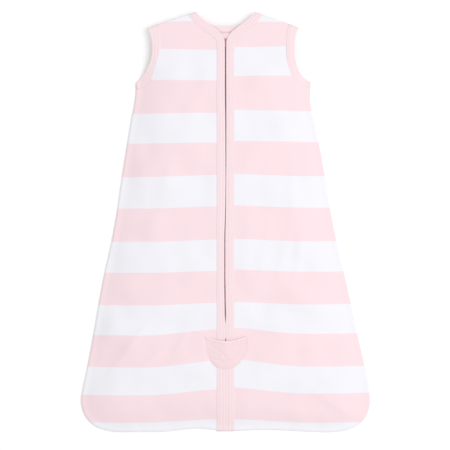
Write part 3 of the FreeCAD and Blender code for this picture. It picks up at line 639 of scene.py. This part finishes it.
left_part = lower_line[(lower_line[:, 0] < 0) & (lower_line[:, 1] < 212) & (lower_line[:, 1] > -266)]
right_part = lower_line[(lower_line[:, 0] > 0) & (lower_line[:, 1] < 209) & (lower_line[:, 1] > -266)]
hem_part = lower_line[lower_line[:, 1] < -262]
for name, node_name, line in (("side_seam_left_overlock", "side_seam_left", left_part),
                              ("side_seam_right_overlock", "side_seam_right", right_part),
                              ("hem_seam_overlock", "hem_seam", hem_part)):
    piece = band(name, offset(line, 3.4), offset(line, 8.4), SEAM_SECTION, flat_height, overlock)
    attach(piece, "bag")
    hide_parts(node_name)
for side, arm_seam in ((-1, LEFT_ARM_SEAM), (1, RIGHT_ARM_SEAM)):
    start = np.array([side * NECK_SEAM[0][0], NECK_SEAM[0][1]])
    line = start + (np.array(arm_seam[0]) - start) * np.linspace(0.02, 0.98, 20)[:, None]
    inward = offset(line, 2.2 * side * -1)
    section = [(across, 12.4 + (rise - 1.05) * 1.7) for across, rise in SEAM_SECTION]
    where = "left" if side < 0 else "right"
    piece = band("shoulder_seam_%s_overlock" % where, inward, offset(line, 7.2 * side * -1), section,
                 flat_height, overlock)
    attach(piece, "bag")
    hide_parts("shoulder_seam_" + where)

# --- Zip tapes ------------------------------------------------------------------------------------
# Woven polyester tape sewn under each strip, with a cord edge that the teeth grip. It steps down from
# the strip so that the slider can run below the free edges.
TAPE_END = -240.0
TAPE_Z = 11.4
TAPE = 0.6
TAPE_PROFILE = [(1.6, TAPE_Z), (6.0, TAPE_Z), (8.5, FRONT_Z - TAPE), (STRIP_OUTER, FRONT_Z - TAPE),
                (STRIP_OUTER, FRONT_Z - 0.03), (8.5, FRONT_Z - 0.03), (6.0, TAPE_Z + TAPE),
                (1.6, TAPE_Z + TAPE)]


def run_along_zip(name, profile, side, low, high, material, step=4.0):
    """Sweeps a cross-section, in millimetres from the zip's centre, along the zip."""
    rows_y = np.linspace(low, high, int((high - low) / step) + 1)
    ring = len(profile)
    verts = [(side * x, y, z) for y in rows_y for x, z in profile]
    steps = np.concatenate([[0.0], np.cumsum(np.hypot(*np.diff(np.array(profile), axis=0).T))])
    uvs = [(steps[j], y) for y in rows_y for j in range(ring)]
    faces = []
    for i in range(len(rows_y) - 1):
        for j in range(ring):
            k = (j + 1) % ring
            faces.append((i * ring + j, i * ring + k, (i + 1) * ring + k, (i + 1) * ring + j))
    faces.append(tuple(range(ring))[::-1])
    faces.append(tuple((len(rows_y) - 1) * ring + j for j in range(ring)))
    piece = mesh_piece(name, verts, outward(verts, faces), uvs, material)
    piece.data.polygons.foreach_set("use_smooth", [False] * len(piece.data.polygons))
    return piece


# Woven polyester: a fine herringbone, dusty pink and slightly shiny where the yarns float.
TAPE_PINK = "#F3BCC1"
woven_tape, tree = new_material("polyester_zip_tape")
cloth_map = add_node(tree, "ShaderNodeUVMap", uv_map="cloth")
turned = add_node(tree, "ShaderNodeMapping", {"Vector": cloth_map.outputs[0],
                                              "Rotation": (0, 0, math.radians(45))})
floats = add_node(tree, "ShaderNodeTexWave", {"Vector": turned.outputs[0], "Distortion": 0.0,
                                              "Scale": 1 / (0.9 * MM) / 20 * 6.2832}, bands_direction="X")
weave = add_node(tree, "ShaderNodeBump", {"Height": floats.outputs[1], "Strength": 0.4, "Distance": 0.0002})
surface = add_node(tree, "ShaderNodeBsdfPrincipled",
                   {"Base Color": linear(TAPE_PINK), "Normal": weave.outputs[0], "Roughness": 0.75,
                    "IOR": 1.5,
                    "Specular IOR Level": 0.35})
add_node(tree, "ShaderNodeOutputMaterial", {"Surface": surface.outputs[0]})

tape_left = run_along_zip("zip_tape_left_woven", TAPE_PROFILE, -1, TAPE_END, ZIP_TOP - 0.5, woven_tape)
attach(tape_left, "bag")
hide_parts("zip_tape_left")
tape_right = run_along_zip("zip_tape_right_woven", TAPE_PROFILE, 1, TAPE_END, ZIP_TOP - 0.5, woven_tape)
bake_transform(tape_right)
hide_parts("zip_tape_right", "zip_tape_right_lower")

# --- Zip teeth ------------------------------------------------------------------------------------
# Moulded acetal teeth on each tape's cord edge, 2.4 mm apart and meshed with those of the other side.
TOOTH_PITCH = 2.4
CHAIN_LOW = -197.2
CHAIN_HIGH = 280.0
TOOTH_SIZE = (3.8, 0.9, 1.8)


def repeat_along(name, line, unit_verts, unit_faces, pitch, material, shade_smooth=True):
    """Sets a small unit along a line of millimetre points, every pitch, its X along the line."""
    path = bpy.data.meshes.new(name + "_path")
    path.from_pydata([tuple(p) for p in np.array(line) * MM], [(i, i + 1) for i in range(len(line) - 1)], [])
    holder = bpy.data.objects.new(name, path)
    bpy.context.collection.objects.link(holder)
    unit_mesh = bpy.data.meshes.new(name + "_unit")
    unit_mesh.from_pydata([tuple(v) for v in np.array(unit_verts) * MM], [], unit_faces)
    unit = bpy.data.objects.new(name + "_unit", unit_mesh)
    bpy.context.collection.objects.link(unit)
    group = bpy.data.node_groups.new(name + "_repeat", "GeometryNodeTree")
    group.interface.new_socket("Path", in_out="INPUT", socket_type="NodeSocketGeometry")
    pitch_id = group.interface.new_socket("Pitch", in_out="INPUT", socket_type="NodeSocketFloat").identifier
    unit_id = group.interface.new_socket("Unit", in_out="INPUT", socket_type="NodeSocketObject").identifier
    group.interface.new_socket("Row", in_out="OUTPUT", socket_type="NodeSocketGeometry")
    given = add_node(group, "NodeGroupInput")
    curve = add_node(group, "GeometryNodeMeshToCurve", {0: given.outputs["Path"]})
    even = add_node(group, "GeometryNodeResampleCurve", {"Curve": curve.outputs[0],
                                                         "Length": given.outputs["Pitch"]},
                    mode="LENGTH")
    tangent = add_node(group, "GeometryNodeInputTangent")
    turn = add_node(group, "FunctionNodeAlignRotationToVector", {"Vector": tangent.outputs[0]}, axis="X",
                    pivot_axis="Z")
    source = add_node(group, "GeometryNodeObjectInfo", {"Object": given.outputs["Unit"]})
    placed = add_node(group, "GeometryNodeInstanceOnPoints",
                      {"Points": even.outputs[0], "Instance": source.outputs["Geometry"],
                       "Rotation": turn.outputs[0]})
    real = add_node(group, "GeometryNodeRealizeInstances", {0: placed.outputs[0]})
    dressed = add_node(group, "GeometryNodeSetMaterial", {"Geometry": real.outputs[0], "Material": material})
    add_node(group, "NodeGroupOutput", {"Row": dressed.outputs[0]})
    modifier = holder.modifiers.new("repeat", "NODES")
    modifier.node_group = group
    modifier[pitch_id] = pitch * MM
    modifier[unit_id] = unit
    bpy.context.view_layer.update()
    row = bpy.data.meshes.new_from_object(holder.evaluated_get(bpy.context.evaluated_depsgraph_get()))
    holder.modifiers.clear()
    holder.data = row
    row.polygons.foreach_set("use_smooth", [shade_smooth] * len(row.polygons))
    bpy.data.objects.remove(unit)
    return holder


def rounded_bar(length, width, height, corner):
    """A small bar along X with chamfered long edges and ends, centred on its own origin."""
    verts, faces = [], []
    half = [(-length / 2, 1 - 2 * corner / width, 1 - 2 * corner / height), (-length / 2 + corner, 1, 1),
            (length / 2 - corner, 1, 1), (length / 2, 1 - 2 * corner / width, 1 - 2 * corner / height)]
    shape = [(1, 0.4), (0.4, 1), (-0.4, 1), (-1, 0.4), (-1, -0.4), (-0.4, -1), (0.4, -1), (1, -0.4)]
    for x, wide, high in half:
        verts += [(x, a * width / 2 * wide, b * height / 2 * high) for a, b in shape]
    for i in range(3):
        for j in range(8):
            k = (j + 1) % 8
            faces.append((i * 8 + j, (i + 1) * 8 + j, (i + 1) * 8 + k, i * 8 + k))
    faces.append(tuple(range(8)))
    faces.append(tuple(reversed(range(24, 32))))
    return [tuple(v) for v in verts], [tuple(reversed(f)) for f in faces]


# Acetal: a dense, faintly glossy moulded plastic, dyed a little deeper than the tape.
acetal, tree = new_material("acetal_moulded_pink")
surface = add_node(tree, "ShaderNodeBsdfPrincipled", {"Base Color": linear("#FFB2B8"), "Roughness": 0.42,
                                                      "IOR": 1.48,
                                                      "Specular IOR Level": 0.5})
add_node(tree, "ShaderNodeOutputMaterial", {"Surface": surface.outputs[0]})

tooth_verts, tooth_faces = rounded_bar(TOOTH_SIZE[1], TOOTH_SIZE[0], TOOTH_SIZE[2], 0.22)
chains = {}
for side, shift in ((-1, 0.75), (1, 0.75 + TOOTH_PITCH / 2)):
    where = "left" if side < 0 else "right"
    low, high = CHAIN_LOW + shift, CHAIN_HIGH - 1
    line = [(side * 1.1, low, 11.7), (side * 1.1, high, 11.7)]
    chains[where] = repeat_along("zip_teeth_" + where, line, tooth_verts, tooth_faces, TOOTH_PITCH, acetal)
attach(chains["left"], "bag")
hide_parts("zip_chain_left")
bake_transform(chains["right"])
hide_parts("zip_chain_right", "zip_chain_right_lower")

# --- Zip ends: starting box and pin at the neck, stops in the garage ------------------------------
# Small acetal mouldings crimped on the tapes, with their edges softened as they leave the mould.


def softened(node_name, radius, material, body):
    """A CAD part's own shape with its sharp edges rounded."""
    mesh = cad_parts[node_name].data.copy()
    mesh.name = node_name + "_finished"
    piece = bpy.data.objects.new(node_name + "_finished", mesh)
    bpy.context.collection.objects.link(piece)
    weld = piece.modifiers.new("weld", "WELD")
    weld.merge_threshold = 0.00001
    flat = piece.modifiers.new("flat", "DECIMATE")
    flat.decimate_type = "DISSOLVE"
    flat.angle_limit = math.radians(2)
    bevel = piece.modifiers.new("bevel", "BEVEL")
    bevel.width = radius * MM
    bevel.segments = 2
    bevel.limit_method = "ANGLE"
    bevel.angle_limit = math.radians(40)
    bpy.context.view_layer.update()
    piece.data = bpy.data.meshes.new_from_object(piece.evaluated_get(bpy.context.evaluated_depsgraph_get()))
    piece.modifiers.clear()
    piece.data.materials.clear()
    piece.data.materials.append(material)
    piece.data.polygons.foreach_set("material_index", [0] * len(piece.data.polygons))
    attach(piece, body)
    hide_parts(node_name)
    return piece


for node_name, body in (("zip_retainer_box", "bag"), ("zip_stop_left", "bag"), ("zip_stop_right", "bag"),
                        ("zip_insertion_pin", "right_front")):
    softened(node_name, 0.25, acetal, body)

# --- Zip guard ------------------------------------------------------------------------------------
# A soft strip of plain jersey sewn under the left tape, so that the zip never touches the baby. It
# passes under the starting box and rises to the neck binding, where it fills the notch of the neck.
GUARD_PROFILE = [(-STRIP_OUTER, 13.36), (-STRIP_OUTER, 12.6), (-11.5, 12.6), (-8.0, 8.4), (10.0, 8.4),
                 (10.0, 9.2),
                 (-7.6, 9.2), (-11.0, 13.36)]
GUARD_RISE = [(278.0, 8.4), (290.2, 8.4), (292.4, 9.6), (294.2, 11.8), (296.2, 12.8), (300.0, 12.9),
              (303.0, 12.7)]
GUARD_HALF = 9.0
GUARD = 0.8
guard = run_along_zip("zip_guard_jersey", [(-x, z) for x, z in GUARD_PROFILE], -1, TAPE_END, 279.0,
                      plain_jersey)
guard_line = curve_through(GUARD_RISE, 1.0)
top_verts, top_faces, top_uvs = [], [], []
for y, z in guard_line:
    for x, lift in ((-GUARD_HALF, 0), (GUARD_HALF, 0), (GUARD_HALF, GUARD), (-GUARD_HALF, GUARD)):
        top_verts.append((x, y, z + lift))
        top_uvs.append((x, y + z))
for i in range(len(guard_line) - 1):
    top_faces += [(4 * i + j, 4 * i + (j + 1) % 4, 4 * i + 4 + (j + 1) % 4, 4 * i + 4 + j) for j in range(4)]
top_faces += [(3, 2, 1, 0), tuple(4 * len(guard_line) - 4 + j for j in range(4))]
guard_top = mesh_piece("zip_guard_top_jersey", top_verts, outward(top_verts, top_faces), top_uvs,
                       plain_jersey)
guard_top.data.polygons.foreach_set("use_smooth", [False] * len(guard_top.data.polygons))
joined = bmesh.new()
joined.from_mesh(guard.data)
joined.from_mesh(guard_top.data)
joined.to_mesh(guard.data)
joined.free()
bpy.data.objects.remove(guard_top)
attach(guard, "bag")
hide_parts("zip_guard")

# --- Slider and pull ------------------------------------------------------------------------------
# Die-cast zinc, painted to match: two plates joined by a wedge, an arch for the pull, and a flat
# rounded pull that lies down along the zip.
painted_zinc, tree = new_material("zinc_painted_pink")
place = add_node(tree, "ShaderNodeTexCoord")
grain = add_node(tree, "ShaderNodeTexNoise", {"Vector": place.outputs["Object"], "Scale": 900.0,
                                              "Detail": 3.0})
orange_peel = add_node(tree, "ShaderNodeBump", {"Height": grain.outputs[0], "Strength": 0.06,
                                                "Distance": 0.0002})
surface = add_node(tree, "ShaderNodeBsdfPrincipled",
                   {"Base Color": linear("#E9B9BD"), "Normal": orange_peel.outputs[0], "Roughness": 0.32,
                    "IOR": 1.5,
                    "Specular IOR Level": 0.5, "Coat Weight": 0.4, "Coat Roughness": 0.12})
add_node(tree, "ShaderNodeOutputMaterial", {"Surface": surface.outputs[0]})
for node_name, radius, body in (("slider_body", 0.2, "slider"), ("slider_bridge", 0.25, "slider"),
                                ("pull_tab", 0.22, "pull")):
    softened(node_name, radius, painted_zinc, body)

# --- Garage ---------------------------------------------------------------------------------------
# A half-moon of doubled jersey sewn over the lower end of the zip, open at the top, where its edge is
# folded back. It stands up a little over the slider that it hides.
GARAGE_EDGE = [(-32.4, -182), (-32.6, -206), (-25.2, -221), (-13.4, -231), (0, -234.5), (13.4, -231),
               (25.2, -221), (32.6, -206), (32.4, -182)]
GARAGE_MOUTH = [(32.4, -182), (18, -187), (0, -189.5), (-18, -187), (-32.4, -182)]
GARAGE = 0.8
GARAGE_NET = 1.4
GARAGE_Z = 16.1
GARAGE_LEAN = 12.0
GARAGE_EASE = 0.6
GARAGE_EASE_RUN = 8.0
GARAGE_LOW = -232.0
GARAGE_LOW_RUN = 28.0
GARAGE_RISE = 2.55
GARAGE_BUMP = 12.0
GARAGE_CURL = 2.5
GARAGE_CREASES = [([(-25, -195.5), (-14.7, -202), (-6, -208), (-1, -214.5)], 0.35, 2.2),
                  ([(-1, -214.5), (8, -210.7), (19.4, -207)], 0.35, 2.2),
                  ([(-20, -218), (-11, -221.4), (-1, -222.2), (10.6, -219.5), (22, -212)], 0.45, 1.6),
                  ([(-4, -204), (12, -204.6)], 0.25, 1.3), ([(6, -190.5), (11, -193), (17, -190)], 0.55, 1.3)]
sewn_line = curve_through(GARAGE_EDGE, 1.5)
mouth_line = curve_through(GARAGE_MOUTH, 1.5)
sewn_sides = np.vstack([[(GARAGE_EDGE[0][0], -150)], sewn_line, [(GARAGE_EDGE[-1][0], -150)]])


def garage_height(points):
    """On the strips and panels at its sewn edge, lifted in the middle by the slider, with soft creases."""
    depth = distance_to(points, sewn_sides)
    lean = np.clip((np.abs(points[:, 0]) - STRIP_OUTER) / GARAGE_LEAN, 0, 1)
    lean = lean * lean * (3 - 2 * lean)
    ease = np.clip(depth / GARAGE_EASE_RUN, 0, 1)
    low = np.clip((points[:, 1] - GARAGE_LOW) / GARAGE_LOW_RUN, 0, 1)
    height = GARAGE_Z - lean + GARAGE_EASE * ease * ease * (3 - 2 * ease)
    height += GARAGE_RISE * np.exp(-(points[:, 0] / GARAGE_BUMP) ** 2) * low * low * (3 - 2 * low)
    height -= 0.45 * np.clip(1 - depth / GARAGE_CURL, 0, 1) ** 2
    for line, deep, wide in GARAGE_CREASES:
        away = distance_to(points, np.array(line, float)) / wide
        height += deep * (0.5 * np.exp(-((away - 1.9) ** 2)) - np.exp(-away ** 2)) * np.clip(depth / 3, 0, 1)
    return height


# The folded edge is given a paler pink: a painted highlight along the lit fold of the garage mouth.
FOLD_PINK_PAINTED_HIGHLIGHT = "#FCE8EB"
garage_outline = np.vstack([sewn_line[:-1], mouth_line[:-1]])
garage = cut_cloth("garage_cover_jersey", garage_outline, garage_height, GARAGE, GARAGE_NET, plain_jersey)
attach(garage, "bag")
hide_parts("garage_cover")
FOLD_SECTION = [(0.0, 0.75), (0.1, 1.1), (0.5, 1.42), (1.2, 1.55), (2.4, 1.5), (3.1, 1.25), (3.4, 0.95),
                (3.2, 0.82),
                (0.3, 0.82), (0.2, 0.78)]
low_line = mouth_line.copy()
low_line[:, 1] -= 3.4
# A paler copy of the plain jersey: painted highlight on the mouth fold.
jersey_painted_highlight = jersey("cotton_jersey_pink_painted_highlight", FOLD_PINK_PAINTED_HIGHLIGHT, FOLD_PINK_PAINTED_HIGHLIGHT)
mouth_fold = band("garage_mouth_fold_jersey", mouth_line, low_line, FOLD_SECTION, garage_height,
                  jersey_painted_highlight)
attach(mouth_fold, "bag")
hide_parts("garage_mouth_fold")

# --- Stitching ------------------------------------------------------------------------------------
# Polyester lockstitch rows, 3 mm long: two down each strip, one along each binding, one round the garage.
STITCH = 2.3
STITCH_PITCH = 3.0
STITCH_ROWS = (4.2, 9.3)
thread, tree = new_material("polyester_thread_pink")
surface = add_node(tree, "ShaderNodeBsdfPrincipled", {"Base Color": linear("#F7DADF"), "Roughness": 0.6,
                                                      "IOR": 1.5,
                                                      "Specular IOR Level": 0.4})
add_node(tree, "ShaderNodeOutputMaterial", {"Surface": surface.outputs[0]})
stitch_verts, stitch_faces = rounded_bar(STITCH, 0.42, 0.34, 0.1)


def stitch_line(edge, seam, across, height, rise=1.84):
    plan = (edge + (seam - edge) * (across / RIB_WIDTH))[1:-1]
    return np.column_stack([plan, height(plan) + rise])


rows = []
for side, where in ((-1, "left"), (1, "right")):
    edge, seam = strip_lines(side)
    for i, across in enumerate(STITCH_ROWS):
        row = repeat_along("stitches_strip_%s_%d" % (where, i + 1),
                           stitch_line(edge, seam, across, front_base),
                           stitch_verts, stitch_faces, STITCH_PITCH, thread)
        if side < 0:
            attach(row, "bag")
        else:
            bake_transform(row)
        rows.append(row)
for side, edge_points, seam_points in (("left", LEFT_ARM_EDGE, LEFT_ARM_SEAM),
                                       ("right", RIGHT_ARM_EDGE, RIGHT_ARM_SEAM)):
    edge, seam = paired(edge_points, seam_points, BAND_STEP)
    for layer_name, height in (("front", front_base), ("back", back_height)):
        row = repeat_along("stitches_armhole_%s_%s" % (side, layer_name),
                           stitch_line(edge, seam, 9.3, height),
                           stitch_verts, stitch_faces, STITCH_PITCH, thread)
        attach(row, "bag")
        rows.append(row)
edge, seam = paired(BACK_NECK_EDGE, BACK_NECK_SEAM, BAND_STEP)
row = repeat_along("stitches_neck_back", stitch_line(edge, seam, 9.3, standing_height), stitch_verts,
                   stitch_faces, STITCH_PITCH, thread)
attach(row, "bag")
rows.append(row)

garage_seam = offset(sewn_line, 2.6)[2:-2]
garage_seam = np.column_stack([garage_seam, garage_height(garage_seam) + GARAGE - 0.02])
row = repeat_along("stitches_garage", garage_seam, stitch_verts, stitch_faces, STITCH_PITCH, thread)
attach(row, "bag")

# --- Care label -----------------------------------------------------------------------------------
# A bare folded ribbon in the left side seam, inside.
ribbon, tree = new_material("satin_ribbon_white")
place = add_node(tree, "ShaderNodeTexCoord")
picks = add_node(tree, "ShaderNodeTexWave", {"Vector": place.outputs["Object"], "Distortion": 0.0,
                                             "Scale": 1 / (0.5 * MM) / 20 * 6.2832}, bands_direction="Y")
satin = add_node(tree, "ShaderNodeBump", {"Height": picks.outputs[1], "Strength": 0.2, "Distance": 0.0001})
surface = add_node(tree, "ShaderNodeBsdfPrincipled", {"Base Color": linear("#F2F2F2"),
                                                      "Normal": satin.outputs[0],
                                                      "Roughness": 0.45, "IOR": 1.5,
                                                      "Specular IOR Level": 0.5})
add_node(tree, "ShaderNodeOutputMaterial", {"Surface": surface.outputs[0]})
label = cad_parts["care_label_blank"]
label.data.materials.clear()
label.data.materials.append(ribbon)

for panel, name_list in ((back, [back_neck]), (front_left, [left_strip]), (front_right, [right_strip])):
    low, high = panel.bound_box[0], panel.bound_box[6]
